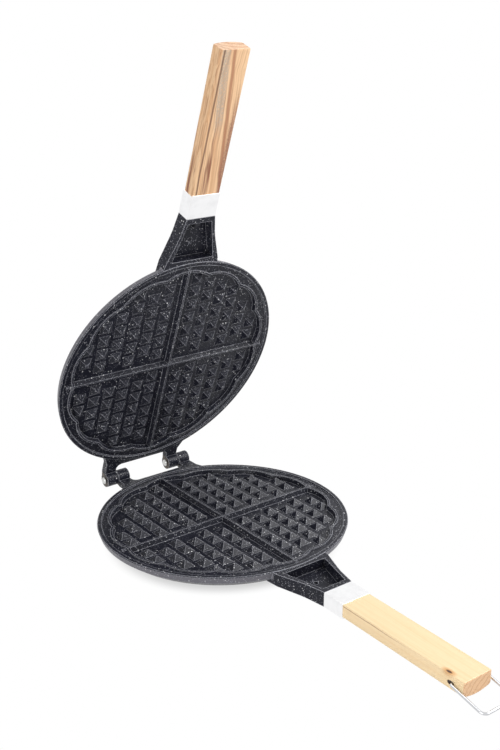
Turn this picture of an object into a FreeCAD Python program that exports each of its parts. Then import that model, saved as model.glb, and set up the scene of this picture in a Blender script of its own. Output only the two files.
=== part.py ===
import FreeCAD, Part
import math
import os
import re

import Sketcher
from FreeCAD import Placement, Rotation, Vector

# Stovetop waffle iron, shown with its lid part way open. Lengths in mm.
# X runs along the hinge, the handles point to -Y and +Z is up.
# The origin is the middle of the lower plate's underside, on the stove.

# Plate: a shallow round casting, used twice
SIZES = {
    "plate_radius": 95.0,
    "plate_depth": 16.2,          # stove face to rim
    "rim_width": 3.6,
    "rim_step": 1.2,              # rim down to the flat land inside it
    "wall_height": 5.4,           # upright part of the outer wall
    "wall_draft": 1.5,            # how far the wall leans in over that height
    "belly_width": 6.5,           # slope from the wall to the underside
    "floor_thickness": 6.4,
    "foot_radius": 74.0,          # ring that stands on the stove
    "foot_width": 6.0,
    "foot_draft": 1.4,
    "boss_radius": 16.0,          # flat pad in the middle of the underside
    # Cavity: fourteen round lobes with a thin raised lip
    "cavity_depth": 4.0,          # rim to cavity floor
    "lobe_count": 14,
    "lobe_radius": 33.0,
    "lobe_reach": 86.0,
    "lobe_draft": 1.0,            # how far the cavity wall leans in
    "lip_width": 1.6,
    "lip_rise": 0.8,              # lip above the land
    # Cross of two ribs
    "rib_drop": 0.3,              # rim down to the rib's crest
    "rib_crest": 1.4,
    "rib_foot": 4.6,
    "rib_overlap": 4.5,           # how far the ribs run into the cavity wall
    # Pyramids that press the squares into the waffle
    "pyramid_side": 9.4,
    "pyramid_tip": 0.5,
    "pyramid_height": 3.7,
    "column_pitch": 12.55,
    "row_pitch": 12.0,
    "first_column": 11.35,
    "first_row": 10.8,
    "lattice_reach": 80.25,
    # Hinge: two pairs of knuckles at the back
    "hinge_reach": 109.5,         # plate centre to hinge axis
    "closing_gap": 0.3,           # between the two rims when shut
    "pair_offset": 29.4,          # middle of each pair of knuckles
    "knuckle_length": 10.0,
    "knuckle_gap": 0.4,
    "knuckle_radius": 5.6,
    "web_reach": 97.0,            # back edge of the web between the lugs
    "web_root": 88.0,
    "lug_root": 83.5,
    "lug_depth": 6.6,             # rim down to the underside of web and lugs
    "lug_fillet": 4.5,
    "lug_flare": 5.5,
    "pin_radius": 2.0,
    "pin_play": 0.05,
    "pin_head_radius": 2.8,
    "pin_head_height": 1.4,
    "pin_head_gap": 0.3,
    "pin_peen_radius": 2.7,
    "pin_peen_height": 1.0,
    "pin_washer_radius": 3.8,
    "pin_washer_thickness": 0.8,
    # Neck: hollow arm from the plate to the handle
    "handle_tilt": 1.0,           # degrees that neck and handle fall away from the rim's plane
    "neck_drop": 0.4,             # rim down to the neck's upper face
    "neck_thickness": 11.1,
    "neck_root_thickness": 9.2,
    "neck_root": 84.0,
    "neck_root_width": 50.0,
    "neck_flare": 96.0,
    "neck_flare_width": 46.0,
    "neck_waist": 117.0,
    "neck_waist_width": 31.0,
    "neck_reach": 132.6,
    "neck_width": 24.2,
    "neck_fillet": 60.0,
    "recess_start": 97.2,
    "recess_start_width": 36.0,
    "recess_wall": 4.2,           # end wall that the handle stud goes through
    "recess_end_width": 20.0,
    "recess_floor": 2.0,
    "seat_depth": 0.5,            # flat seat for the washer, cut into the end wall
    "seat_margin": 0.4,
    "dimple_radius": 1.75,        # blind hole in the recess floor
    "dimple_reach": 110.0,
    "dimple_depth": 1.2,
    "tenon_length": 8.0,
    # Ferrule: thin metal sleeve over neck and grip
    "ferrule_length": 18.6,
    "ferrule_width": 24.8,
    "ferrule_height": 11.3,
    "ferrule_wall": 1.0,
    "ferrule_play": 0.12,
    "ferrule_round": 0.8,
    # Grip: wooden bar with a crowned outer side
    "grip_length": 106.0,
    "grip_width": 23.6,
    "grip_end_width": 24.2,
    "grip_step": 0.4,             # ferrule's upper face down to the wood
    "grip_height": 12.0,
    "grip_crown": 2.2,
    "grip_round": 1.0,
    "grip_crown_round": 1.8,
    # Handle stud with its nut and washer in the recess
    "stud_radius": 1.95,
    "stud_play": 0.1,
    "stud_in_recess": 6.5,
    "stud_in_grip": 55.0,
    "nut_flats": 7.0,
    "nut_height": 3.2,
    "lock_washer_radius": 3.7,
    "lock_washer_thickness": 0.9,
    # Latch bail: wire loop on the lower grip
    "bail_wire_radius": 0.95,
    "bail_play": 0.08,
    "bail_leg": 27.4,
    "bail_half_width": 13.5,
    "bail_bend": 1.5,
    "bail_corner": 4.0,
    "bail_tail": 6.9,             # wire inside the grip, from the leg's centre line
    "bail_from_end": 9.2,         # pivot to the grip's end
    "bail_floor_gap": 0.3,
    "bail_slot": 2.4,             # the hole's mouth is lengthened towards the plate
    "bail_slot_depth": 2.5,
    # Pose shown: angle between the two plates
    "lid_opening": 68.1,
}

doc = FreeCAD.newDocument("WaffleIron")
sheet = doc.addObject("Spreadsheet::Sheet", "Sizes")
for row, (alias, value) in enumerate(SIZES.items(), start=1):
    sheet.set(f"A{row}", alias)
    sheet.set(f"B{row}", str(value))
    sheet.setAlias(f"B{row}", alias)
doc.recompute()


def bound(text):
    """Write a formula of size names as one that reads the sheet."""
    def named(word):
        return f"Sizes.{word.group()}" if word.group() in SIZES else word.group()

    return re.sub(r"[a-z][a-z_]*", named, text)


def size(text):
    """Value of a formula of size names, in mm."""
    return float(sheet.evalExpression(bound(text)))


def bind(feature, **formulas):
    """Tie properties of a feature to formulas of size names."""
    for name, text in formulas.items():
        feature.setExpression(name.replace("__", "."), bound(text))


# Heights and places that several pieces share
RIM = "plate_depth"
LAND = "plate_depth - rim_step"
FLOOR = "plate_depth - cavity_depth"
UNDERSIDE = "(plate_depth - cavity_depth - floor_thickness)"
AXIS = "(plate_depth + closing_gap / 2)"
LUG_LOW = "(plate_depth - lug_depth)"
NECK_TOP = "(plate_depth - neck_drop)"
NECK_LOW = "(plate_depth - neck_drop - neck_thickness)"
HANDLE_MID = "(plate_depth - neck_drop - ferrule_height / 2)"
RECESS_END = "(neck_reach - recess_wall)"
GRIP_START = "(neck_reach + ferrule_length)"
GRIP_END = "(neck_reach + ferrule_length + grip_length)"
GRIP_TOP = "(plate_depth - neck_drop - grip_step)"


def new_body(label, place):
    body = doc.addObject("PartDesign::Body", label)
    body.Label = label
    body.Placement = place
    return body


def origin_of(body, role):
    return next(item for item in body.Origin.OriginFeatures if item.Role == role)


def tilt_about(angle, y, z):
    """Turn about a line along X, so that what lies at -Y falls."""
    return Placement(Vector(), Rotation(Vector(1, 0, 0), angle), Vector(0, size(y), size(z)))


def new_sketch(body, name, role, offset="0", tilt=None):
    sketch = body.newObject("Sketcher::SketchObject", name)
    plane = origin_of(body, role)
    sketch.AttachmentSupport = [(plane, "")]
    sketch.MapMode = "FlatFace"
    if tilt:
        lift = Placement(Vector(0, 0, size(offset)), Rotation())
        sketch.AttachmentOffset = plane.Placement.inverse() * tilt * plane.Placement * lift
    else:
        bind(sketch, AttachmentOffset__Base__z=offset)
    return sketch


def outline(body, name, role, points, offset="0", tilt=None):
    """Closed outline of straight lines whose corners follow the sheet."""
    sketch = new_sketch(body, name, role, offset, tilt)
    corners = [Vector(size(x), size(y), 0) for x, y in points]
    count = len(corners)
    sketch.addGeometry([Part.LineSegment(corners[i], corners[(i + 1) % count]) for i in range(count)], False)
    for i, (x, y) in enumerate(points):
        sketch.addConstraint(Sketcher.Constraint("Coincident", i, 2, (i + 1) % count, 1))
        for kind, text in (("DistanceX", x), ("DistanceY", y)):
            number = sketch.addConstraint(Sketcher.Constraint(kind, -1, 1, i, 1, size(text)))
            sketch.setExpression(f"Constraints[{number}]", bound(text))
    return sketch


def circle(body, name, role, radius, x="0", y="0", offset="0"):
    sketch = new_sketch(body, name, role, offset)
    sketch.addGeometry(Part.Circle(Vector(size(x), size(y), 0), Vector(0, 0, 1), size(radius)), False)
    for kind, text in (("DistanceX", x), ("DistanceY", y)):
        number = sketch.addConstraint(Sketcher.Constraint(kind, -1, 1, 0, 3, size(text)))
        sketch.setExpression(f"Constraints[{number}]", bound(text))
    number = sketch.addConstraint(Sketcher.Constraint("Radius", 0, size(radius)))
    sketch.setExpression(f"Constraints[{number}]", bound(radius))
    return sketch


def pad(body, name, sketch, length, reverse=False, taper=None):
    feature = body.newObject("PartDesign::Pad", name)
    feature.Profile = sketch
    feature.Reversed = reverse
    bind(feature, Length=length)
    if taper:
        bind(feature, TaperAngle=taper)
    feature.Refine = False
    return feature


def pocket(body, name, sketch, depth, reverse=False):
    """Cut a sketch to a depth and check that the cut took something away."""
    doc.recompute()
    before = body.Tip.Shape.Volume
    feature = body.newObject("PartDesign::Pocket", name)
    feature.Profile = sketch
    feature.Reversed = reverse
    bind(feature, Length=depth)
    doc.recompute()
    if not feature.Shape.Volume < before:
        raise RuntimeError(f"{body.Label}: {name} cuts nothing")
    return feature


def primitive(body, kind, name, x="0", y="0", z="0", turn=None, tilt=None, **formulas):
    """Add or cut a cylinder, cone or box at a place given by formulas."""
    feature = body.newObject(f"PartDesign::{kind}", name)
    rotation = Rotation(*turn) if turn else Rotation()
    if tilt:
        feature.Placement = tilt * Placement(Vector(size(x), size(y), size(z)), rotation)
    else:
        feature.Placement = Placement(Vector(), rotation)
        bind(feature, Placement__Base__x=x, Placement__Base__y=y, Placement__Base__z=z)
    bind(feature, **formulas)
    return feature


def around(body, name, feature):
    """Repeat a lobe's feature for every lobe of the cavity."""
    pattern = body.newObject("PartDesign::PolarPattern", name)
    pattern.Originals = [feature]
    pattern.Axis = (origin_of(body, "Z_Axis"), [""])
    pattern.Angle = 360
    bind(pattern, Occurrences="lobe_count")
    body.Tip = pattern
    return pattern


def round_edges(body, name, radius, wanted):
    """Round every edge of the last feature that the test picks."""
    doc.recompute()
    base = body.Tip
    names = [f"Edge{i}" for i, edge in enumerate(base.Shape.Edges, start=1) if wanted(edge)]
    fillet = body.newObject("PartDesign::Fillet", name)
    fillet.Base = (base, names)
    bind(fillet, Radius=radius)
    return fillet


def runs_along(edge, axis):
    """Tell whether an edge goes straight along an axis, or nearly so."""
    chord = edge.Vertexes[-1].Point - edge.Vertexes[0].Point
    return abs(chord.dot(axis)) > edge.Length * math.cos(math.radians(5))


# Knuckle places on one casting: the far half of each pair, seen from -X.
# The same casting turned over puts its knuckles in the near halves.
LUG_STARTS = ["(pair_offset + knuckle_gap / 2)", "(0 - pair_offset + knuckle_gap / 2)"]


def make_plate(label, place):
    body = new_body(label, place)

    # Neck towards the handle, thinner at its root, with the tenon for the ferrule
    down = tilt_about(size("handle_tilt"), "0 - plate_radius", NECK_TOP)
    neck_points = []
    for reach, width in (("neck_root", "neck_root_width"), ("neck_flare", "neck_flare_width"),
                         ("neck_waist", "neck_waist_width"), ("neck_reach", "neck_width")):
        neck_points.append((f"{width} / 2", f"0 - {reach}"))
    neck_points += [(f"0 - {x}", y) for x, y in reversed(neck_points)]
    neck = outline(body, "NeckOutline", "XY_Plane", neck_points, NECK_LOW, tilt=down)
    pad(body, "Neck", neck, "neck_thickness")
    round_edges(body, "NeckFillets", "neck_fillet", lambda edge: runs_along(edge, Vector(0, 0, 1))
                and abs(abs(edge.Vertexes[0].X) - size("neck_waist_width / 2")) < size("pin_play"))
    slope = "(neck_thickness - neck_root_thickness) / (neck_reach - plate_radius)"
    root_low = f"({NECK_TOP} - neck_root_thickness + (plate_radius - neck_root) * {slope})"
    wedge = outline(body, "NeckSlope", "YZ_Plane", [
        ("0 - neck_reach", NECK_LOW),
        ("0 - neck_root", f"{root_low}"),
        ("0 - neck_root + neck_drop", f"{NECK_LOW} - neck_drop"),
        ("0 - neck_reach", f"{NECK_LOW} - neck_drop")], "0 - neck_root_width", tilt=down)
    pocket(body, "NeckUnderside", wedge, "2 * neck_root_width", reverse=True)
    tenon_width = "(ferrule_width - 2 * ferrule_wall - 2 * ferrule_play)"
    tenon_height = "(ferrule_height - 2 * ferrule_wall - 2 * ferrule_play)"
    primitive(body, "AdditiveBox", "Tenon", f"0 - {tenon_width} / 2", "0 - neck_reach - tenon_length",
              f"{HANDLE_MID} - {tenon_height} / 2", tilt=down,
              Length=tenon_width, Width="tenon_length + recess_wall", Height=tenon_height)

    # Round disc with its rim, land, leaning wall and foot ring
    profile = outline(body, "DiscProfile", "XZ_Plane", [
        ("0", "0"),
        ("boss_radius", "0"),
        ("boss_radius + foot_draft", UNDERSIDE),
        ("foot_radius - foot_width - foot_draft", UNDERSIDE),
        ("foot_radius - foot_width", "0"),
        ("foot_radius", "0"),
        ("foot_radius + foot_draft", UNDERSIDE),
        ("plate_radius - wall_draft - belly_width", UNDERSIDE),
        ("plate_radius - wall_draft", "plate_depth - wall_height"),
        ("plate_radius", "plate_depth - lip_rise"),
        ("plate_radius - lip_rise / 2", RIM),
        ("plate_radius - rim_width + lip_rise / 2", RIM),
        ("plate_radius - rim_width", LAND),
        ("0", LAND)])
    disc = body.newObject("PartDesign::Revolution", "Disc")
    disc.Profile = profile
    disc.ReferenceAxis = (profile, ["V_Axis"])
    disc.Angle = 360
    primitive(body, "SubtractiveCylinder", "Land", z=LAND, Radius="plate_radius - rim_width",
              Height="plate_depth")

    # Web and lugs behind the disc, with flared outer sides
    far, near = LUG_STARTS
    lug_end = "(hinge_reach - knuckle_radius)"
    flange = outline(body, "FlangeOutline", "XY_Plane", [
        (near, lug_end),
        (near, "web_reach"),
        (f"{near} - lug_flare", "web_root"),
        (f"{near} - lug_flare", "lug_root"),
        (f"{far} + knuckle_length + lug_flare", "lug_root - lug_flare"),
        (f"{far} + knuckle_length", "web_root + lug_flare"),
        (f"{far} + knuckle_length", lug_end),
        (far, lug_end),
        (far, "web_reach"),
        (f"{near} + knuckle_length", "web_reach"),
        (f"{near} + knuckle_length", lug_end)], LUG_LOW)
    pad(body, "Flange", flange, f"{LAND} - {LUG_LOW}")
    inner_sides = [size(far), size(f"{near} + knuckle_length")]
    round_edges(body, "WebFillets", "lug_fillet", lambda edge: runs_along(edge, Vector(0, 0, 1))
                and abs(edge.BoundBox.YMin - size("web_reach")) < size("pin_play")
                and min(abs(edge.BoundBox.XMin - side) for side in inner_sides) < size("pin_play"))

    # Lobed cavity inside its lip
    reach = "(lobe_reach - lobe_radius)"
    lobe_x = f"{reach} * cos(180 deg / lobe_count)"
    lobe_y = f"{reach} * sin(180 deg / lobe_count)"
    lip = primitive(body, "AdditiveCylinder", "Lip", lobe_x, lobe_y, f"{LAND} - lip_rise",
                    Radius="lobe_radius + lip_width", Height="2 * lip_rise")
    around(body, "Lips", lip)
    lobe = primitive(body, "SubtractiveCone", "Lobe", lobe_x, lobe_y, FLOOR,
                     Radius1="lobe_radius - lobe_draft", Radius2="lobe_radius", Height="cavity_depth")
    around(body, "Lobes", lobe)
    primitive(body, "SubtractiveCylinder", "CavityMiddle", z=FLOOR,
              Radius="lobe_reach - lobe_radius / 2", Height="cavity_depth")

    # Cross of ribs, and the recess in the neck
    rib_height = "(cavity_depth - rib_drop)"
    arm, half = "(lobe_reach + rib_overlap)", "(rib_foot / 2)"
    quarter = [(arm, f"(0 - {half})"), (arm, half), (half, half)]
    cross = []
    for turn in range(4):
        for x, y in quarter:
            for _ in range(turn):
                x, y = f"(0 - {y})", x
            cross.append((x, y))
    ribs = outline(body, "RibOutline", "XY_Plane", cross, FLOOR)
    pad(body, "Ribs", ribs, rib_height, taper=f"0 deg - atan((rib_foot - rib_crest) / 2 / {rib_height})")
    floor_tilt = down * tilt_about(math.degrees(math.atan(size(slope))), "0 - plate_radius",
                                   f"{NECK_TOP} - neck_root_thickness")
    recess = outline(body, "RecessOutline", "XY_Plane", [
        ("0 - recess_start_width / 2", "0 - recess_start"),
        ("0 - recess_end_width / 2", f"seat_depth - {RECESS_END}"),
        ("recess_end_width / 2", f"seat_depth - {RECESS_END}"),
        ("recess_start_width / 2", "0 - recess_start")],
        f"{NECK_TOP} - neck_root_thickness + recess_floor", tilt=floor_tilt)
    pocket(body, "Recess", recess, "neck_thickness", reverse=True)
    primitive(body, "SubtractiveCylinder", "WasherSeat", y=f"0 - {RECESS_END}", z=HANDLE_MID, tilt=down,
              turn=(Vector(1, 0, 0), -90), Radius="lock_washer_radius + seat_margin",
              Height="stud_in_recess")
    primitive(body, "SubtractiveCylinder", "Dimple", y="0 - dimple_reach",
              z=f"{NECK_TOP} - neck_root_thickness + recess_floor - dimple_depth", tilt=floor_tilt,
              Radius="dimple_radius", Height="2 * dimple_depth")
    primitive(body, "SubtractiveCylinder", "StudHole", y="0 - neck_reach - 2 * tenon_length", z=HANDLE_MID,
              tilt=down, turn=(Vector(1, 0, 0), -90), Radius="stud_radius + stud_play",
              Height="recess_wall + 3 * tenon_length")

    # Lattice of pyramids, staggered from column to column
    lattice = new_sketch(body, "Lattice", "XY_Plane", FLOOR)
    row_pitch, half_side = size("row_pitch"), size("pyramid_side / 2")
    lines = []
    for side in (-1, 1):
        for column in range(int(size("lattice_reach / column_pitch"))):
            x = side * (size("first_column") + size("column_pitch") * column)
            shifted = (column % 2 == 0) == (side < 0)
            y = size("first_row") + (row_pitch / 2 if shifted else 0)
            while math.hypot(x, y) < size("lattice_reach"):
                for row_side in (-1, 1):
                    corners = [Vector(x + i * half_side, row_side * y + j * half_side, 0)
                               for i, j in ((-1, -1), (1, -1), (1, 1), (-1, 1))]
                    lines += [Part.LineSegment(corners[i], corners[(i + 1) % 4]) for i in range(4)]
                y += row_pitch
    lattice.addGeometry(lines, False)
    pad(body, "Pyramids", lattice, "pyramid_height",
        taper="0 deg - atan((pyramid_side - pyramid_tip) / 2 / pyramid_height)")

    # Knuckles, each on the bent end of its lug
    for number, start in enumerate(LUG_STARTS, start=1):
        bend = outline(body, f"LugBend{number}", "YZ_Plane", [
            ("web_reach", LUG_LOW),
            ("hinge_reach - knuckle_radius", LUG_LOW),
            ("hinge_reach + knuckle_radius * cos(45 deg)", f"{AXIS} - knuckle_radius * sin(45 deg)"),
            ("hinge_reach", AXIS),
            ("hinge_reach - knuckle_radius", LAND),
            ("web_reach", LAND)], start)
        pad(body, f"Lug{number}", bend, "knuckle_length")
        primitive(body, "AdditiveCylinder", f"Knuckle{number}", start, "hinge_reach", AXIS,
                  turn=(Vector(0, 1, 0), 90), Radius="knuckle_radius", Height="knuckle_length")
        primitive(body, "SubtractiveCylinder", f"PinBore{number}", f"{start} - knuckle_gap", "hinge_reach",
                  AXIS, turn=(Vector(0, 1, 0), 90), Radius="pin_radius + pin_play",
                  Height="knuckle_length + 2 * knuckle_gap")
    return body


def make_pin(label, pair):
    """Headed pin through one pair of knuckles, peened over its washer."""
    body = new_body(label, Placement(Vector(size(pair), size("hinge_reach"), size(AXIS)), Rotation()))
    head = "(0 - knuckle_gap / 2 - knuckle_length - pin_head_gap)"
    tail = "(knuckle_gap / 2 + knuckle_length + pin_washer_thickness)"
    profile = outline(body, "PinProfile", "XY_Plane", [
        (f"{head} - pin_head_height", "0"),
        (f"{head} - pin_head_height", "pin_head_radius - pin_head_height / 2"),
        (f"{head} - pin_head_height / 2", "pin_head_radius"),
        (head, "pin_head_radius"),
        (head, "pin_radius"),
        (tail, "pin_radius"),
        (tail, "pin_peen_radius"),
        (f"{tail} + pin_peen_height", "pin_peen_radius - pin_peen_height / 2"),
        (f"{tail} + pin_peen_height", "0")])
    pin = body.newObject("PartDesign::Revolution", "Pin")
    pin.Profile = profile
    pin.ReferenceAxis = (profile, ["H_Axis"])
    pin.Angle = 360
    return body


def make_ring(label, place, radius, bore, thickness):
    """Flat ring about its own Z axis."""
    ring = doc.addObject("Part::Cut", label)
    ring.Label = label
    ring.Base = doc.addObject("Part::Cylinder", f"{label}Disc")
    ring.Tool = doc.addObject("Part::Cylinder", f"{label}Bore")
    bind(ring.Base, Radius=radius, Height=thickness)
    bind(ring.Tool, Radius=bore, Height=thickness)
    ring.Placement = place
    return ring


def make_ferrule(label, place):
    body = new_body(label, place)
    half, low, top = "(ferrule_width / 2)", f"({HANDLE_MID} - ferrule_height / 2)", NECK_TOP
    shell = outline(body, "Shell", "XZ_Plane", [
        (f"0 - {half}", low), (half, low), (half, top), (f"0 - {half}", top)], "neck_reach")
    pad(body, "Sleeve", shell, "ferrule_length")
    round_edges(body, "SleeveRound", "ferrule_round", lambda edge: runs_along(edge, Vector(0, 1, 0)))
    inner = f"({half} - ferrule_wall)"
    bore = outline(body, "Bore", "XZ_Plane", [
        (f"0 - {inner}", f"{low} + ferrule_wall"), (inner, f"{low} + ferrule_wall"),
        (inner, f"{top} - ferrule_wall"), (f"0 - {inner}", f"{top} - ferrule_wall")], "neck_reach")
    pocket(body, "Hollow", bore, "ferrule_length", reverse=True)
    return body


def crowned_section(body, name, offset, width, top, low):
    """Outline with a flat upper side and a crowned lower side."""
    sketch = new_sketch(body, name, "XZ_Plane", offset)
    half, upper, lowest = size(f"{width} / 2"), size(top), size(low)
    shoulder = size(f"{GRIP_TOP} - grip_height + grip_crown")
    corners = [Vector(-half, upper, 0), Vector(-half, shoulder, 0), Vector(half, shoulder, 0),
               Vector(half, upper, 0)]
    sketch.addGeometry([
        Part.LineSegment(corners[0], corners[1]),
        Part.Arc(corners[1], Vector(0, lowest, 0), corners[2]),
        Part.LineSegment(corners[2], corners[3]),
        Part.LineSegment(corners[3], corners[0])], False)
    return sketch


def make_grip(label, place, holds_bail):
    body = new_body(label, place)
    wood = body.newObject("PartDesign::AdditiveLoft", "Wood")
    low = f"{GRIP_TOP} - grip_height"
    wood.Profile = crowned_section(body, "StartSection", GRIP_START, "grip_width", GRIP_TOP, low)
    wood.Sections = [crowned_section(body, "EndSection", GRIP_END, "grip_end_width", GRIP_TOP, low)]
    wood.Ruled = True
    end = -size(GRIP_END)
    shoulder = size(f"{low} + grip_crown")
    tiny = size("ferrule_play")
    round_edges(body, "CrownRound", "grip_crown_round", lambda edge: runs_along(edge, Vector(0, 1, 0))
                and abs(edge.BoundBox.ZMax - shoulder) < tiny)
    round_edges(body, "TopRound", "grip_round", lambda edge: runs_along(edge, Vector(0, 1, 0))
                and abs(edge.BoundBox.ZMax - size(GRIP_TOP)) < tiny)
    round_edges(body, "EndRound", "grip_round", lambda edge: edge.BoundBox.YMax < end + tiny)

    # Tenon inside the ferrule, with the bore for the stud
    room = "(ferrule_wall + ferrule_play)"
    tenon = crowned_section(body, "TenonSection", f"{GRIP_START} - tenon_length",
                            f"(ferrule_width - 2 * {room})", f"{NECK_TOP} - {room}",
                            f"{NECK_TOP} - ferrule_height + {room}")
    pad(body, "Tenon", tenon, "tenon_length")
    primitive(body, "SubtractiveCylinder", "StudBore", y=f"0 - {GRIP_START} - stud_in_grip", z=HANDLE_MID,
              turn=(Vector(1, 0, 0), -90), Radius="stud_radius + stud_play",
              Height="stud_in_grip + 2 * tenon_length")
    if holds_bail:
        primitive(body, "SubtractiveCylinder", "BailHole", "0 - ferrule_width / 2",
                  f"0 - {GRIP_END} + bail_from_end", HANDLE_MID, turn=(Vector(0, 1, 0), 90),
                  Radius="bail_wire_radius + bail_play", Height="ferrule_width")
        mouths = {"Left": "(0 - ferrule_width / 2)", "Right": "(ferrule_width / 2 - bail_slot_depth)"}
        for mouth_side, start in mouths.items():
            primitive(body, "SubtractiveBox", f"Bail{mouth_side}Slot", start,
                      f"0 - {GRIP_END} + bail_from_end", f"{HANDLE_MID} - bail_wire_radius - bail_play",
                      Length="bail_slot_depth", Width="bail_slot",
                      Height="2 * bail_wire_radius + 2 * bail_play")
            primitive(body, "SubtractiveCylinder", f"Bail{mouth_side}SlotEnd", start,
                      f"0 - {GRIP_END} + bail_from_end + bail_slot", HANDLE_MID, turn=(Vector(0, 1, 0), 90),
                      Radius="bail_wire_radius + bail_play", Height="bail_slot_depth")
    return body


def make_stud(label, place):
    """Plain steel rod, bevelled at both ends."""
    body = new_body(label, place)
    front, back = f"(0 - {RECESS_END} + stud_in_recess)", f"(0 - {GRIP_START} - stud_in_grip + tenon_length)"
    bevel = "(stud_radius / 4)"
    profile = outline(body, "StudProfile", "XY_Plane", [
        ("0", front), ("stud_radius - " + bevel, front), ("stud_radius", f"{front} - {bevel}"),
        ("stud_radius", f"{back} + {bevel}"), ("stud_radius - " + bevel, back), ("0", back)], HANDLE_MID)
    rod = body.newObject("PartDesign::Revolution", "Rod")
    rod.Profile = profile
    rod.ReferenceAxis = (profile, ["V_Axis"])
    rod.Angle = 360
    return body


def make_nut(label, place):
    """Hexagon nut about its own Z axis, with a flat face up."""
    nut = doc.addObject("Part::Cut", label)
    nut.Label = label
    nut.Base = doc.addObject("Part::Prism", f"{label}Hexagon")
    nut.Tool = doc.addObject("Part::Cylinder", f"{label}Thread")
    nut.Base.Polygon = 6
    bind(nut.Base, Circumradius="nut_flats / 2 / cos(30 deg)", Height="nut_height")
    bind(nut.Tool, Radius="stud_radius + stud_play / 2", Height="nut_height")
    nut.Placement = place
    return nut


def make_bail(label, handle_tilt):
    """Wire loop: two legs whose bent tails sit in the lower grip."""
    pivot = handle_tilt.multVec(Vector(0, -size(f"{GRIP_END} - bail_from_end"), size(HANDLE_MID)))
    rest_drop = pivot.z - size("bail_wire_radius + bail_floor_gap")
    drop = math.degrees(math.asin(rest_drop / size("bail_leg")))
    body = new_body(label, Placement(pivot, Rotation(Vector(1, 0, 0), drop)))
    half, leg = size("bail_half_width"), size("bail_leg")
    bend, corner, tail = size("bail_bend"), size("bail_corner"), size("bail_tail")
    diagonal = 1 - math.sqrt(0.5)
    line = Part.LineSegment

    def at(x, y):
        return Vector(x, y, 0)

    path = new_sketch(body, "WirePath", "XY_Plane")
    left = [
        line(at(tail - half, 0), at(bend - half, 0)),
        Part.Arc(at(bend - half, 0), at(diagonal * bend - half, -diagonal * bend), at(-half, -bend)),
        line(at(-half, -bend), at(-half, corner - leg)),
        Part.Arc(at(-half, corner - leg), at(diagonal * corner - half, diagonal * corner - leg),
                 at(corner - half, -leg))]
    right = [
        Part.Arc(at(half - corner, -leg), at(half - diagonal * corner, diagonal * corner - leg),
                 at(half, corner - leg)),
        line(at(half, corner - leg), at(half, -bend)),
        Part.Arc(at(half, -bend), at(half - diagonal * bend, -diagonal * bend), at(half - bend, 0)),
        line(at(half - bend, 0), at(half - tail, 0))]
    path.addGeometry(left + [line(at(corner - half, -leg), at(half - corner, -leg))] + right, False)
    section = circle(body, "WireSection", "YZ_Plane", "bail_wire_radius",
                     offset="bail_tail - bail_half_width")
    wire = body.newObject("PartDesign::AdditivePipe", "Wire")
    wire.Profile = section
    wire.Spine = (path, [f"Edge{i}" for i in range(1, 10)])
    return body


# The lid is the same set of pieces turned over and swung open about the hinge
turned_over = Placement(Vector(0, 0, 2 * size(AXIS)), Rotation(Vector(0, 1, 0), 180))
hinge_line = Vector(0, size("hinge_reach"), size(AXIS))
swung = Placement(Vector(), Rotation(Vector(1, 0, 0), -size("lid_opening")), hinge_line)
SIDES = {"lower": Placement(), "upper": swung * turned_over}

pieces = []
handle_tilt = tilt_about(size("handle_tilt"), "0 - plate_radius", NECK_TOP)
for side, place in SIDES.items():
    handle = place * handle_tilt
    along_handle = Rotation(Vector(1, 0, 0), -90)
    seat = Placement(Vector(0, -size(RECESS_END), size(HANDLE_MID)), along_handle)
    nut_reach = size(f"{RECESS_END} - lock_washer_thickness")
    nut_seat = Placement(Vector(0, -nut_reach, size(HANDLE_MID)), along_handle)
    pieces += [
        make_plate(f"{side}_plate", place),
        make_ferrule(f"{side}_ferrule", handle),
        make_grip(f"{side}_grip", handle, holds_bail=side == "lower"),
        make_stud(f"{side}_handle_stud", handle),
        make_ring(f"{side}_lock_washer", handle * seat, "lock_washer_radius",
                  "stud_radius + stud_play", "lock_washer_thickness"),
        make_nut(f"{side}_handle_nut", handle * nut_seat)]
for side, pair in (("left", "0 - pair_offset"), ("right", "pair_offset")):
    washer_x = size(f"{pair} + knuckle_gap / 2 + knuckle_length")
    washer_place = Placement(Vector(washer_x, size("hinge_reach"), size(AXIS)),
                             Rotation(Vector(0, 1, 0), 90))
    pieces += [
        make_pin(f"{side}_hinge_pin", pair),
        make_ring(f"{side}_pin_washer", washer_place, "pin_washer_radius", "pin_radius + pin_play",
                  "pin_washer_thickness")]
pieces.append(make_bail("latch_bail", handle_tilt))
doc.recompute()

for item in doc.Objects:
    if {"Invalid", "Error"} & set(item.State):
        raise RuntimeError(f"{item.Label} did not build")
for piece in pieces:
    if piece.Shape.isNull() or not piece.Shape.isValid():
        raise RuntimeError(f"{piece.Label} has no sound shape")

os.makedirs("parts", exist_ok=True)
for piece in pieces:
    piece.Shape.exportStep(os.path.join("parts", f"{piece.Label}.step"))
    box = piece.Shape.BoundBox
    print(f"{piece.Label:20s} solids {len(piece.Shape.Solids)} volume {piece.Shape.Volume / 1000:8.2f} cm3  "
          f"x {box.XMin:7.1f} {box.XMax:7.1f}  y {box.YMin:7.1f} {box.YMax:7.1f}  "
          f"z {box.ZMin:7.1f} {box.ZMax:7.1f}")
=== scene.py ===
import bpy
import math
from mathutils import Matrix, Vector


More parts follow.
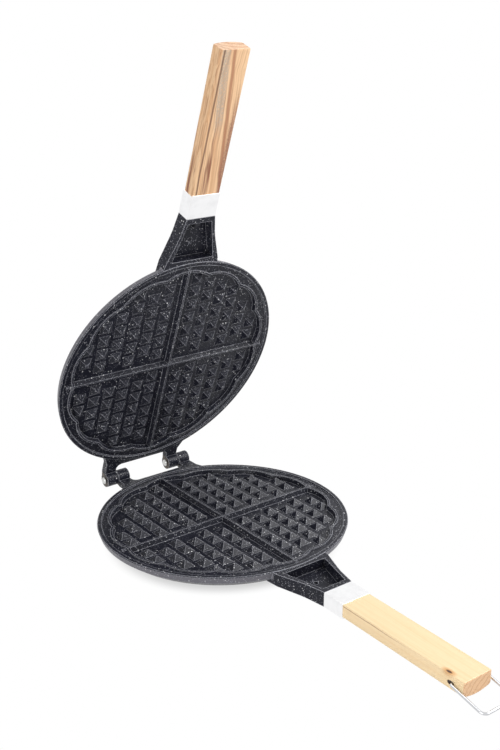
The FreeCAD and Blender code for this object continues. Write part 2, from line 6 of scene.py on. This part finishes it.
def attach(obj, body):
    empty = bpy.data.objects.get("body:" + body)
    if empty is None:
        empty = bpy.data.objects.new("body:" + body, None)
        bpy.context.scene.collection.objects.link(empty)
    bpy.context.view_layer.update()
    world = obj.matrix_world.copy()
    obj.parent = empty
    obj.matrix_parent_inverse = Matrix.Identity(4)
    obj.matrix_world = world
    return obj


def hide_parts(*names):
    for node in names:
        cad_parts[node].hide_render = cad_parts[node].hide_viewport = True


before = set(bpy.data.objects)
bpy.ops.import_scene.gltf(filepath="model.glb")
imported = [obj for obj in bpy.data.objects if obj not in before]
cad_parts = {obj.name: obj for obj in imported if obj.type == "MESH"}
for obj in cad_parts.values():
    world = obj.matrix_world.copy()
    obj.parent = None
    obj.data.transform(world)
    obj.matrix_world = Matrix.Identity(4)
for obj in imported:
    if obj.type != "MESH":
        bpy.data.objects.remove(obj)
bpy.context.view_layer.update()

# Places on this waffle iron, in metres and degrees, as on the CAD sheet
iron = {
    "plateRadius": 0.095,
    "plateDepth": 0.0162,
    "closingGap": 0.0003,
    "hingeReach": 0.1095,
    "lidOpening": 68.1,
    "handleTilt": 1.0,
    "neckTop": 0.0158,
    "gripTop": 0.0154,
    "gripEnd": 0.2572,
    "gripWidth": 0.0236,
}
hingeHeight = iron["plateDepth"] + iron["closingGap"] / 2


# Small helpers for node trees

def fill(tree, made, inputs):
    for name, value in inputs.items():
        if isinstance(value, bpy.types.NodeSocket):
            tree.links.new(value, made.inputs[name])
        else:
            made.inputs[name].default_value = value


def node(tree, kind, inputs=None, **settings):
    made = tree.nodes.new("ShaderNode" + kind)
    for name, value in settings.items():
        setattr(made, name, value)
    fill(tree, made, inputs or {})
    return made


def place(tree, group, inputs):
    made = tree.nodes.new("ShaderNodeGroup")
    made.node_tree = group
    fill(tree, made, inputs)
    return made.outputs


def maths(tree, operation, a, b=0.0):
    return node(tree, "Math", {0: a, 1: b}, operation=operation).outputs[0]


def times(tree, first, *others):
    for other in others:
        first = maths(tree, "MULTIPLY", first, other)
    return first


def fade(tree, value, start, stop):  # 0 before start, 1 after stop, smooth between
    return node(tree, "MapRange", {"Value": value, "From Min": start, "From Max": stop},
                interpolation_type="SMOOTHSTEP").outputs[0]


def fadeOut(tree, value, start, stop):  # 1 before start, 0 after stop
    return maths(tree, "SUBTRACT", 1.0, fade(tree, value, start, stop))


def band(tree, value, low, lowEnd, highStart, high):  # 1 between the inner two, 0 outside the outer two
    return times(tree, fade(tree, value, low, lowEnd), fadeOut(tree, value, highStart, high))


def spread(tree, value, low, high):  # 0..1 becomes low..high
    return node(tree, "MapRange", {"Value": value, "To Min": low, "To Max": high}).outputs[0]


def paint(tree, amount, under, over):
    return node(tree, "Mix", {0: amount, 6: under, 7: over}, data_type="RGBA").outputs[2]


def vectorMaths(tree, operation, a, b):
    return node(tree, "VectorMath", {0: a, 1: b}, operation=operation).outputs[0]


def length(tree, x=0.0, y=0.0, z=0.0):
    parts = node(tree, "CombineXYZ", {0: x, 1: y, 2: z}).outputs[0]
    return node(tree, "VectorMath", {0: parts}, operation="LENGTH").outputs["Value"]


def stretched(tree, vector, scale):
    return node(tree, "Mapping", {"Vector": vector, "Scale": scale}).outputs[0]


def noise(tree, vector, scale, detail=2.0, roughness=0.5, distortion=0.0):
    return node(tree, "TexNoise", {"Vector": vector, "Scale": scale, "Detail": detail,
                                   "Roughness": roughness, "Distortion": distortion}).outputs["Fac"]


def roughen(tree, shader, height, strength, distance):
    bump = node(tree, "Bump", {"Height": height, "Strength": strength, "Distance": distance})
    tree.links.new(bump.outputs[0], shader.inputs["Normal"])


screen = {"white": 255, "gamma": 2.2}


def tone(red, green, blue):  # a colour as seen on the screen, 0..255
    return tuple((part / screen["white"]) ** screen["gamma"] for part in (red, green, blue)) + (1.0,)


def newGroup(name, inputs, outputs):
    tree = bpy.data.node_groups.new(name, "ShaderNodeTree")
    for title, kind, value in inputs:
        socket = tree.interface.new_socket(name=title, in_out="INPUT", socket_type="NodeSocket" + kind)
        if value is not None:
            socket.default_value = value
    for title, kind in outputs:
        tree.interface.new_socket(name=title, in_out="OUTPUT", socket_type="NodeSocket" + kind)
    return tree, tree.nodes.new("NodeGroupInput").outputs, tree.nodes.new("NodeGroupOutput").inputs


def newMaterial(name):
    material = bpy.data.materials.new(name)
    material.use_nodes = True
    tree = material.node_tree
    return material, tree, tree.nodes["Principled BSDF"]


def objectPlace(tree):
    return node(tree, "TexCoord").outputs["Object"]


# Effects that several materials share

fleckShape = {
    "sizes": (0.45, 1.15),
    "raggedNoise": (2600.0, 1.0),
    "ragged": (-0.05, 0.05),
    "rim": (0.7, 1.0),
}


def makeFleckGroup():  # pale stone flecks in a dark coat
    shape = fleckShape
    tree, given, result = newGroup("stoneFlecks", [
        ("Vector", "Vector", None), ("Scale", "Float", 400.0),
        ("Size", "Float", 0.2), ("Share", "Float", 0.3)],
        [("Mask", "Float"), ("Shade", "Float")])
    cells = node(tree, "TexVoronoi", {"Vector": given["Vector"], "Scale": given["Scale"]}, feature="F1")
    chance = node(tree, "SeparateColor", {"Color": cells.outputs["Color"]}).outputs
    ragged = noise(tree, given["Vector"], *shape["raggedNoise"])
    size = times(tree, given["Size"], spread(tree, chance["Green"], *shape["sizes"]))
    away = maths(tree, "ADD", cells.outputs["Distance"], spread(tree, ragged, *shape["ragged"]))
    inside = fadeOut(tree, maths(tree, "DIVIDE", away, size), *shape["rim"])
    kept = maths(tree, "LESS_THAN", chance["Red"], given["Share"])
    tree.links.new(times(tree, inside, kept), result["Mask"])
    tree.links.new(chance["Blue"], result["Shade"])
    return tree


grainShape = {
    "along": (1.0, 0.09, 1.0),
    "drift": {"Scale": 75.0, "Detail": 2.0},
    "driftMiddle": (0.5, 0.5, 0.5),
    "wave": {"Distortion": 1.2, "Detail": 2.0, "Detail Scale": 0.6},
    "fibreAlong": (1.0, 0.014, 1.0),
    "fibreDetail": (3.0, 0.6),
    "poreAlong": (1.0, 0.05, 1.0),
    "poreNoise": (2200.0, 1.0),
    "pores": (0.62, 0.74),
    "patchAlong": (1.0, 0.12, 1.0),
    "patchNoise": (110.0, 2.0),
}


def makeGrainGroup():  # growth rings and fibres of a piece of wood whose grain runs along Y
    shape = grainShape
    tree, given, result = newGroup("woodGrain", [
        ("Vector", "Vector", None), ("Rings", "Float", 90.0), ("Waviness", "Float", 0.004),
        ("Fibres", "Float", 900.0)],
        [("Rings", "Float"), ("Fibres", "Float"), ("Pores", "Float"), ("Patches", "Float")])
    along = stretched(tree, given["Vector"], shape["along"])
    drift = node(tree, "TexNoise", {"Vector": along, **shape["drift"]}).outputs["Color"]
    centred = vectorMaths(tree, "SUBTRACT", drift, shape["driftMiddle"])
    shift = node(tree, "VectorMath", {0: centred, "Scale": given["Waviness"]}, operation="SCALE").outputs[0]
    bent = vectorMaths(tree, "ADD", along, shift)
    rings = node(tree, "TexWave", {"Vector": bent, "Scale": given["Rings"], **shape["wave"]},
                 wave_type="RINGS", rings_direction="Y", wave_profile="SAW").outputs["Fac"]
    tree.links.new(rings, result["Rings"])
    thin = stretched(tree, given["Vector"], shape["fibreAlong"])
    tree.links.new(noise(tree, thin, given["Fibres"], *shape["fibreDetail"]), result["Fibres"])
    pores = noise(tree, stretched(tree, given["Vector"], shape["poreAlong"]), *shape["poreNoise"])
    tree.links.new(fade(tree, pores, *shape["pores"]), result["Pores"])
    wide = stretched(tree, given["Vector"], shape["patchAlong"])
    tree.links.new(noise(tree, wide, *shape["patchNoise"]), result["Patches"])
    return tree


brushShape = {
    "lineDetail": (2.0, 0.6),
    "smudgeNoise": (160.0, 3.0),
}


def makeBrushGroup():  # fine parallel scratches along one axis
    tree, given, result = newGroup("brushedLines", [
        ("Vector", "Vector", None), ("Stretch", "Vector", (1.0, 1.0, 1.0)), ("Scale", "Float", 3000.0)],
        [("Lines", "Float"), ("Smudges", "Float")])
    lined = vectorMaths(tree, "MULTIPLY", given["Vector"], given["Stretch"])
    tree.links.new(noise(tree, lined, given["Scale"], *brushShape["lineDetail"]), result["Lines"])
    tree.links.new(noise(tree, given["Vector"], *brushShape["smudgeNoise"]), result["Smudges"])
    return tree


flecks = makeFleckGroup()
grain = makeGrainGroup()
brushed = makeBrushGroup()
print("shared effects made")


# Places inside the handles: the lid's pieces are turned over and swung about the hinge

def about(point, angle, axis):
    return Matrix.Translation(point) @ Matrix.Rotation(math.radians(angle), 4, axis) \
        @ Matrix.Translation(-point)


def localSpace(tree, side, tilt=0.0):
    back = about(Vector((0, -iron["plateRadius"], iron["neckTop"])), -tilt, "X")
    if side == "upper":
        unswing = about(Vector((0, iron["hingeReach"], hingeHeight)), iron["lidOpening"], "X")
        unturn = about(Vector((0, 0, hingeHeight)), 180, "Y")
        back = back @ unturn @ unswing
    where, turn, _ = back.decompose()
    return node(tree, "Mapping", {"Vector": objectPlace(tree), "Location": where,
                                  "Rotation": turn.to_euler()}, vector_type="POINT").outputs[0]


# Coat: charcoal non-stick finish with stone flecks

coatLook = {
    "dark": tone(20, 21, 28),
    "light": tone(38, 39, 49),
    # painted shade, laid into the hollows
    "hollowShade": tone(2, 2, 5),
    "fleck": tone(226, 226, 228),
    "dust": tone(178, 179, 188),
    # painted reflection of the white floor on the outer wall
    "wall": tone(112, 111, 118),
    # painted highlight along the edges that stand free
    "edgeHighlight": tone(190, 191, 200),
    "worn": tone(120, 110, 98),
    "cloudNoise": (60.0, 3.0),
    "bigFlecks": {"Scale": 480.0, "Size": 0.25, "Share": 0.42},
    "smallFlecks": {"Scale": 1000.0, "Size": 0.36, "Share": 0.6},
    "fleckStrength": (0.3, 1.0),
    "dustStrength": (0.2, 0.85),
    "fleckHeight": 0.6,
    "wallReach": (0.0925, 0.0935, 0.0952, 0.0958),
    "wallHeight": (0.0095, 0.0112, 0.0150, 0.0156),
    "wallShare": 0.8,
    "knuckles": (0.1045, 0.1055),
    "rub": {"facing": (0.9, 0.98), "noise": (420.0, 3.0), "patches": (0.35, 0.6), "share": 0.8},
    # painted shade in the hollows, found by occlusion; the flecks there are dimmed with it
    "hollow": {"distance": 0.004, "samples": 8, "open": (0.15, 0.7), "share": 0.85, "flecksLeftInShade": 0.3},
    # painted highlight, laid on the edges where the rounded normal turns away from the flat one
    "edge": {"radius": 0.0006, "samples": 6, "turn": (0.01, 0.09), "share": 0.85},
    "roughness": (0.3, 0.46),
    "roughnessNoise": (300.0, 2.0),
    "pitNoise": (1500.0, 2.0),
    "bump": (0.25, 0.0001),
    "specular": 0.2,
}


def makeCoat(side):
    look = coatLook
    material, tree, shader = newMaterial(f"{side}StoneCoat")
    at = localSpace(tree, side)
    x, y, z = node(tree, "SeparateXYZ", {"Vector": at}).outputs
    big = place(tree, flecks, {"Vector": at, **look["bigFlecks"]})
    small = place(tree, flecks, {"Vector": at, **look["smallFlecks"]})
    base = paint(tree, noise(tree, at, *look["cloudNoise"]), look["dark"], look["light"])
    # painted reflection: the outer wall is painted greyer, standing in for the white floor reflected in it;
    # the knuckles are rubbed bare where they meet
    wallReflectionMask = times(tree, band(tree, length(tree, x, y), *look["wallReach"]),
                   band(tree, z, *look["wallHeight"]))
    base = paint(tree, times(tree, wallReflectionMask, look["wallShare"]), base, look["wall"])
    flat = node(tree, "NewGeometry").outputs["Normal"]
    sideways = maths(tree, "ABSOLUTE", node(tree, "SeparateXYZ", {"Vector": flat}).outputs[0])
    rub = look["rub"]
    rubbed = times(tree, fade(tree, sideways, *rub["facing"]), fade(tree, y, *look["knuckles"]),
                   fade(tree, noise(tree, at, *rub["noise"]), *rub["patches"]))
    base = paint(tree, times(tree, rubbed, rub["share"]), base, look["worn"])
    # painted shade: the hollows are painted darkest, and a painted highlight runs along the edges that stand
    # free
    hollow = look["hollow"]
    shade = node(tree, "AmbientOcclusion", {"Distance": hollow["distance"]}, samples=hollow["samples"])
    free = fade(tree, shade.outputs["AO"], *hollow["open"])
    base = paint(tree, spread(tree, free, hollow["share"], 0.0), base, look["hollowShade"])
    edge = look["edge"]
    rounded = node(tree, "Bevel", {"Radius": edge["radius"]}, samples=edge["samples"]).outputs[0]
    facing = node(tree, "VectorMath", {0: rounded, 1: flat}, operation="DOT_PRODUCT").outputs["Value"]
    # painted highlight along the free edges, kept out of the hollows
    edgeHighlight = times(tree, fade(tree, maths(tree, "SUBTRACT", 1.0, facing), *edge["turn"]), free)
    base = paint(tree, times(tree, edgeHighlight, edge["share"]), base, look["edgeHighlight"])
    # the flecks are dimmed in the hollows too, as part of the painted shade
    shown = spread(tree, free, hollow["flecksLeftInShade"], 1.0)
    dust = times(tree, small["Mask"], spread(tree, small["Shade"], *look["dustStrength"]), shown)
    base = paint(tree, dust, base, look["dust"])
    spark = times(tree, big["Mask"], spread(tree, big["Shade"], *look["fleckStrength"]), shown)
    base = paint(tree, spark, base, look["fleck"])
    tree.links.new(base, shader.inputs["Base Color"])
    dull = spread(tree, noise(tree, at, *look["roughnessNoise"]), *look["roughness"])
    tree.links.new(dull, shader.inputs["Roughness"])
    pitted = noise(tree, at, *look["pitNoise"])
    roughen(tree, shader, maths(tree, "ADD", pitted, times(tree, big["Mask"], look["fleckHeight"])),
            *look["bump"])
    shader.inputs["Specular IOR Level"].default_value = look["specular"]
    return material


# Wood: pale for the lower grip, tan with brown streaks for the upper one

woodLook = {
    "lower": {
        "early": tone(248, 225, 182), "late": tone(242, 212, 164), "fibre": tone(234, 201, 152),
        "warm": tone(245, 212, 165), "streak": tone(236, 198, 148), "end": tone(226, 180, 138),
        "endDark": tone(198, 146, 104), "heart": (0.035, 0.0, -0.03), "rings": 84.0,
        "streaks": (0.66, 0.8), "contrast": 0.55, "lean": 0.0,
    },
    "upper": {
        "early": tone(238, 201, 158), "late": tone(208, 158, 114), "fibre": tone(172, 120, 84),
        "warm": tone(228, 180, 134), "streak": tone(140, 88, 60), "end": tone(232, 194, 160),
        "endDark": tone(190, 136, 98), "heart": (-0.022, 0.0, -0.012), "rings": 74.0,
        "streaks": (0.54, 0.68), "contrast": 0.9, "lean": 0.06,
    },
    "both": {
        "bendAlong": (0.3, 1.0, 0.3), "bendNoise": (26.0, 2.0), "bendShare": 0.16,
        "waviness": 0.006, "fibres": 900.0, "lateRings": (0.55, 1.0), "warmShare": 0.7,
        "darkFibres": (0.45, 0.75), "streakAlong": (1.0, 0.07, 1.0),
        "streakNoise": (170.0, 3.0, 0.55, 0.4), "poreShare": 0.22, "endDepth": (0.0002, 0.0007),
        "endNoise": (1400.0, 2.0), "endPores": (0.5, 0.72), "endShare": 0.8, "roughness": (0.42, 0.6),
        "poreHeight": -0.8, "bump": (0.35, 0.00012), "coat": 0.12, "coatRoughness": 0.3,
    },
}


def makeWood(side):
    look = {**woodLook["both"], **woodLook[side]}
    material, tree, shader = newMaterial(f"{side}GripWood")
    at = localSpace(tree, side, iron["handleTilt"])
    x, y, z = node(tree, "SeparateXYZ", {"Vector": at}).outputs
    # the grain leans and wanders a little across the grip
    sway = noise(tree, stretched(tree, at, look["bendAlong"]), *look["bendNoise"])
    bend = maths(tree, "SUBTRACT", sway, 0.5)
    leaning = maths(tree, "ADD", times(tree, y, look["lean"]),
                    times(tree, bend, look["lean"] * look["bendShare"]))
    grown = node(tree, "CombineXYZ", {0: maths(tree, "ADD", x, leaning), 1: y, 2: z}).outputs[0]
    wood = place(tree, grain, {"Vector": vectorMaths(tree, "SUBTRACT", grown, look["heart"]),
                               "Rings": look["rings"], "Waviness": look["waviness"],
                               "Fibres": look["fibres"]})
    ringed = fade(tree, wood["Rings"], *look["lateRings"])
    colour = paint(tree, times(tree, ringed, look["contrast"]), look["early"], look["late"])
    colour = paint(tree, spread(tree, wood["Patches"], 0.0, look["warmShare"]), colour, look["warm"])
    dark = times(tree, fade(tree, wood["Fibres"], *look["darkFibres"]), look["contrast"])
    colour = paint(tree, dark, colour, look["fibre"])
    streaky = noise(tree, stretched(tree, grown, look["streakAlong"]), *look["streakNoise"])
    colour = paint(tree, fade(tree, streaky, *look["streaks"]), colour, look["streak"])
    if side == "lower":
        colour = addKnot(tree, colour, x, y, z)
    else:
        colour = addBands(tree, colour, at, x, y)
    colour = paint(tree, times(tree, wood["Pores"], look["poreShare"]), colour, look["streak"])
    # end grain: the rings show as arcs between fine pores
    atEnd = fadeOut(tree, y, *(depth - iron["gripEnd"] for depth in look["endDepth"]))
    cut = paint(tree, ringed, look["end"], look["endDark"])
    endPores = fade(tree, noise(tree, at, *look["endNoise"]), *look["endPores"])
    cut = paint(tree, endPores, cut, look["endDark"])
    colour = paint(tree, times(tree, atEnd, look["endShare"]), colour, cut)
    tree.links.new(colour, shader.inputs["Base Color"])
    tree.links.new(spread(tree, wood["Fibres"], *look["roughness"]), shader.inputs["Roughness"])
    height = maths(tree, "ADD", wood["Fibres"], times(tree, wood["Pores"], look["poreHeight"]))
    roughen(tree, shader, height, *look["bump"])
    shader.inputs["Coat Weight"].default_value = look["coat"]
    shader.inputs["Coat Roughness"].default_value = look["coatRoughness"]
    return material


knotLook = {
    "centre": (-0.0102, -0.2436, 0.0152),
    "squeeze": (1.0, 0.45, 0.7),
    "halo": (0.00096, 0.0033),
    "haloShare": 0.75,
    "core": (0.00064, 0.00136),
    "dark": tone(72, 44, 24),
    "ring": tone(206, 140, 70),
}
lineLook = {
    "colour": tone(150, 104, 62),
    "below": 0.0012,
    "inset": 0.0012,
    "thickness": (0.00012, 0.0004),
    "along": (-0.218, -0.182),
    "wobbleNoise": (70.0, 2.0),
    "wobble": (-0.0004, 0.0004),
    "share": 0.8,
}
mouthLook = {
    "centre": (-0.247, 0.0101),
    "squeeze": 0.55,
    "radius": (0.0013, 0.0019),
    "dark": tone(46, 30, 20),
}


def addKnot(tree, colour, x, y, z):
    knot = knotLook
    offsets = [times(tree, maths(tree, "SUBTRACT", value, centre), squeeze)
               for value, centre, squeeze in zip((x, y, z), knot["centre"], knot["squeeze"])]
    away = length(tree, *offsets)
    colour = paint(tree, times(tree, fadeOut(tree, away, *knot["halo"]), knot["haloShare"]),
                   colour, knot["ring"])
    colour = paint(tree, fadeOut(tree, away, *knot["core"]), colour, knot["dark"])
    # dark line that starts at the ferrule, just under the upper edge on the left
    line = lineLook
    wobble = noise(tree, node(tree, "CombineXYZ", {1: y}).outputs[0], *line["wobbleNoise"])
    level = maths(tree, "ADD", z, spread(tree, wobble, *line["wobble"]))
    off = maths(tree, "ABSOLUTE", maths(tree, "SUBTRACT", level, iron["gripTop"] - line["below"]))
    onSide = maths(tree, "LESS_THAN", x, line["inset"] - iron["gripWidth"] / 2)
    shown = times(tree, fadeOut(tree, off, *line["thickness"]), fade(tree, y, *line["along"]), onSide)
    colour = paint(tree, times(tree, shown, line["share"]), colour, line["colour"])
    # shaded mouths of the hole that the wire turns in
    mouth = mouthLook
    mouthY, mouthZ = mouth["centre"]
    away = length(tree, y=times(tree, maths(tree, "SUBTRACT", y, mouthY), mouth["squeeze"]),
                  z=maths(tree, "SUBTRACT", z, mouthZ))
    return paint(tree, fadeOut(tree, away, *mouth["radius"]), colour, mouth["dark"])


bandLook = {
    "wanderAlong": (0.0, 1.0, 0.0),
    "wanderNoise": (22.0, 2.0),
    "wander": (-0.004, 0.004),
    "slantFrom": 0.204,
    "slant": 0.10,
    "dots": {"along": (1.0, 0.4, 1.0), "noise": (1500.0, 2.0), "range": (0.35, 0.6)},
    "grey": {"colour": tone(178, 160, 142), "shift": 0.002, "width": (0.0022, 0.0042),
             "dotted": (0.35, 0.9), "along": (-0.215, -0.19)},
    "brown": {"colour": tone(168, 112, 78), "shift": 0.0045, "wander": 0.8,
              "width": (0.0005, 0.0021), "share": 0.85},
    "stain": {"colour": tone(140, 92, 72), "edge": (-0.0095, -0.0062), "along": (-0.238, -0.195),
              "dotted": (0.5, 0.9)},
    "crack": {"colour": tone(96, 60, 38), "at": 0.0088, "wander": 0.35,
              "width": (0.0003, 0.0011), "share": 0.8},
}


def addBands(tree, colour, at, x, y):
    look = bandLook
    drift = noise(tree, stretched(tree, at, look["wanderAlong"]), *look["wanderNoise"])
    wander = spread(tree, drift, *look["wander"])
    dots = look["dots"]
    dotted = fade(tree, noise(tree, stretched(tree, at, dots["along"]), *dots["noise"]), *dots["range"])
    slant = maths(tree, "ADD", x, times(tree, maths(tree, "ADD", y, look["slantFrom"]), look["slant"]))
    # grey speckled band in the upper half
    grey = look["grey"]
    middle = maths(tree, "ADD", maths(tree, "SUBTRACT", slant, grey["shift"]), wander)
    amount = times(tree, fadeOut(tree, maths(tree, "ABSOLUTE", middle), *grey["width"]),
                   spread(tree, dotted, *grey["dotted"]),
                   fadeOut(tree, y, *grey["along"]))
    colour = paint(tree, amount, colour, grey["colour"])
    # brown streak that wanders from the end's middle to one edge
    brown = look["brown"]
    middle = maths(tree, "ADD", maths(tree, "ADD", slant, brown["shift"]),
                   times(tree, wander, brown["wander"]))
    streak = fadeOut(tree, maths(tree, "ABSOLUTE", middle), *brown["width"])
    colour = paint(tree, times(tree, streak, brown["share"]), colour, brown["colour"])
    # dark stain along that edge, in the lower half
    stain = look["stain"]
    amount = times(tree, fadeOut(tree, maths(tree, "ADD", x, wander), *stain["edge"]),
                   fade(tree, y, *stain["along"]), spread(tree, dotted, *stain["dotted"]))
    colour = paint(tree, amount, colour, stain["colour"])
    # long drying crack
    crack = look["crack"]
    lineAt = maths(tree, "ADD", maths(tree, "SUBTRACT", x, crack["at"]), times(tree, wander, crack["wander"]))
    amount = times(tree, fadeOut(tree, maths(tree, "ABSOLUTE", lineAt), *crack["width"]), crack["share"])
    return paint(tree, amount, colour, crack["colour"])


# Metals: ferrules, hinge pins and fasteners, and the wire

metalLook = {
    "ferrule": {"colour": tone(246, 246, 247), "roughness": (0.24, 0.36),
                "stretch": (0.03, 1.0, 1.0), "bump": 0.06},
    # painted shade: bright steel painted dark, standing in for the shade inside the handle recess
    "recessShadedSteel": {"colour": tone(58, 58, 62), "roughness": (0.35, 0.5),
                  "stretch": (1.0, 1.0, 1.0), "bump": 0.1},
    "steel": {"colour": tone(205, 205, 203), "roughness": (0.22, 0.4),
              "stretch": (1.0, 0.05, 1.0), "bump": 0.1},
    "wire": {"colour": tone(206, 207, 210), "roughness": (0.12, 0.22),
             "stretch": (1.0, 0.05, 1.0), "bump": 0.04},
}
metalFinish = {
    "brushScale": 3200.0,
    "brushDepth": 0.00005,
    "lineShare": 0.5,
    "smudgeTone": 0.93,
    "smudges": (0.35, 0.75),
}


def makeMetal(kind):
    look = metalLook[kind]
    finish = metalFinish
    material, tree, shader = newMaterial(kind + "Metal")
    brush = place(tree, brushed, {"Vector": objectPlace(tree), "Stretch": look["stretch"],
                                  "Scale": finish["brushScale"]})
    mixed = maths(tree, "ADD", times(tree, brush["Lines"], finish["lineShare"]),
                  times(tree, brush["Smudges"], 1.0 - finish["lineShare"]))
    darker = tuple(part * finish["smudgeTone"] for part in look["colour"][:3]) + (1.0,)
    tree.links.new(paint(tree, fade(tree, brush["Smudges"], *finish["smudges"]), look["colour"], darker),
                   shader.inputs["Base Color"])
    tree.links.new(spread(tree, mixed, *look["roughness"]), shader.inputs["Roughness"])
    roughen(tree, shader, brush["Lines"], look["bump"], finish["brushDepth"])
    shader.inputs["Metallic"].default_value = 1.0
    return material


coats = {side: makeCoat(side) for side in ("lower", "upper")}
woods = {side: makeWood(side) for side in ("lower", "upper")}
metals = {kind: makeMetal(kind) for kind in metalLook}
print("materials made")


# Pieces: a merged copy of each CAD node, with softened edges where the real one has them

softening = {
    "plate": {"width": 0.00035, "segments": 2, "angle": 24},
    "grip": {"width": 0.0, "segments": 0, "angle": 30},
    "ferrule": {"width": 0.0002, "segments": 2, "angle": 40},
    "small": {"width": 0.00012, "segments": 1, "angle": 40},
}
mergeDistance = 1e-6
flatAngle = math.radians(0.5)


def selectOnly(piece):
    bpy.ops.object.select_all(action="DESELECT")
    piece.select_set(True)
    bpy.context.view_layer.objects.active = piece


def dressedCopy(name, kind, body, material):
    soft = softening[kind]
    angle = math.radians(soft["angle"])
    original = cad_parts[name]
    piece = bpy.data.objects.new(name + "_finished", original.data.copy())
    bpy.context.scene.collection.objects.link(piece)
    selectOnly(piece)
    bpy.ops.object.mode_set(mode="EDIT")
    bpy.ops.mesh.select_all(action="SELECT")
    bpy.ops.mesh.remove_doubles(threshold=mergeDistance)
    if soft["width"]:
        bpy.ops.mesh.dissolve_limited(angle_limit=flatAngle, delimit=set())
    bpy.ops.object.mode_set(mode="OBJECT")
    if soft["width"]:
        bevel = piece.modifiers.new("Bevel", "BEVEL")
        bevel.width = soft["width"]
        bevel.segments = soft["segments"]
        bevel.limit_method = "ANGLE"
        bevel.angle_limit = angle
        bevel.use_clamp_overlap = True
        bpy.ops.object.modifier_apply(modifier=bevel.name)
    bpy.ops.object.shade_smooth_by_angle(angle=angle)
    weighted = piece.modifiers.new("Weighted", "WEIGHTED_NORMAL")
    weighted.keep_sharp = True
    bpy.ops.object.modifier_apply(modifier=weighted.name)
    piece.data.materials.clear()
    piece.data.materials.append(material)
    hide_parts(name)
    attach(piece, body)
    print("piece", piece.name, len(piece.data.polygons))


bodyOfSide = {"lower": "base", "upper": "lid"}
for side, body in bodyOfSide.items():
    dressedCopy(f"{side}_plate", "plate", body, coats[side])
    dressedCopy(f"{side}_ferrule", "ferrule", body, metals["ferrule"])
    dressedCopy(f"{side}_grip", "grip", body, woods[side])
    # the stud, washer and nut sit in the recess, and their steel is painted dark as painted shade
    for part in ("handle_stud", "lock_washer", "handle_nut"):
        dressedCopy(f"{side}_{part}", "small", body, metals["recessShadedSteel"])
for side in ("left", "right"):
    for part in ("hinge_pin", "pin_washer"):
        dressedCopy(f"{side}_{part}", "small", "base", metals["steel"])
dressedCopy("latch_bail", "grip", "bail", metals["wire"])


# Floor, light and camera

stageLook = {
    "floorRadius": 4.0,
    "floorSides": 96,
    "floor": (0.9, 0.9, 0.905, 1.0),
    "floorRoughness": 0.9,
    "floorSpecular": 0.1,
    "contact": (0.078, 0.093),
    "whiteAtContact": 0.6,
    "white": (1.0, 1.0, 1.0, 1.0),
    "worldForObject": 0.42,
    "worldForCamera": 1.0,
}
bpy.ops.object.select_all(action="DESELECT")
bpy.ops.mesh.primitive_circle_add(vertices=stageLook["floorSides"], radius=stageLook["floorRadius"],
                                  fill_type="NGON")
floor = bpy.context.object
floor.name = "studioFloor"
# the camera sees the floor white, but for a soft shadow close under the plate
floorMaterial, tree, shader = newMaterial("studioFloor")
shader.inputs["Base Color"].default_value = stageLook["floor"]
shader.inputs["Roughness"].default_value = stageLook["floorRoughness"]
shader.inputs["Specular IOR Level"].default_value = stageLook["floorSpecular"]
path = node(tree, "LightPath").outputs
away = node(tree, "VectorMath", {0: objectPlace(tree)}, operation="LENGTH").outputs["Value"]
openPart = spread(tree, fade(tree, away, *stageLook["contact"]), stageLook["whiteAtContact"], 1.0)
seen = maths(tree, "MAXIMUM", path["Is Glossy Ray"], path["Is Transmission Ray"])
seen = maths(tree, "MAXIMUM", seen, times(tree, path["Is Camera Ray"], openPart))
glow = node(tree, "Emission", {"Color": stageLook["white"], "Strength": 1.0})
mixed = node(tree, "MixShader", {0: seen, 1: shader.outputs[0], 2: glow.outputs[0]})
tree.links.new(mixed.outputs[0], tree.nodes["Material Output"].inputs["Surface"])
floor.data.materials.append(floorMaterial)

world = bpy.data.worlds.new("studioWorld")
bpy.context.scene.world = world
world.use_nodes = True
tree = world.node_tree
path = node(tree, "LightPath").outputs
seen = maths(tree, "MAXIMUM", path["Is Camera Ray"], path["Is Glossy Ray"])
seen = maths(tree, "MAXIMUM", seen, path["Is Transmission Ray"])
background = tree.nodes["Background"]
background.inputs["Color"].default_value = stageLook["white"]
tree.links.new(spread(tree, seen, stageLook["worldForObject"], stageLook["worldForCamera"]),
               background.inputs["Strength"])

lampLook = {
    "keyLight": {"at": (0.95, -0.62, 0.95), "size": 0.6, "power": 14.5},
    "fillLight": {"at": (-1.1, -0.75, 0.45), "size": 0.8, "power": 6.5},
    "topLight": {"at": (0.1, 0.3, 1.4), "size": 0.9, "power": 4.5},
}
lampTarget = Vector((0, 0, 0.05))
for name, look in lampLook.items():
    data = bpy.data.lights.new(name, "AREA")
    data.shape = "SQUARE"
    data.size = look["size"]
    data.energy = look["power"]
    lamp = bpy.data.objects.new(name, data)
    bpy.context.scene.collection.objects.link(lamp)
    lamp.location = look["at"]
    lamp.rotation_euler = (lampTarget - lamp.location).to_track_quat("-Z", "Y").to_euler()

cameraLook = {
    "at": (-0.440135, -0.622345, 0.396445),
    "azimuth": -36.883,
    "elevation": 19.341,
    "roll": -0.41,
    "lens": 53.28,
    "sensor": 36.0,
    "nearest": 0.01,
}
cameraData = bpy.data.cameras.new("camera")
camera = bpy.data.objects.new("camera", cameraData)
bpy.context.scene.collection.objects.link(camera)
cameraData.lens = cameraLook["lens"]
cameraData.sensor_width = cameraLook["sensor"]
cameraData.clip_start = cameraLook["nearest"]
turn = Matrix.Rotation(math.radians(cameraLook["azimuth"]), 4, "Z") \
    @ Matrix.Rotation(math.radians(90 - cameraLook["elevation"]), 4, "X") \
    @ Matrix.Rotation(math.radians(cameraLook["roll"]), 4, "Z")
camera.matrix_world = Matrix.Translation(cameraLook["at"]) @ turn
bpy.context.scene.camera = camera
bpy.context.scene.view_settings.view_transform = "Standard"
print("stage ready")
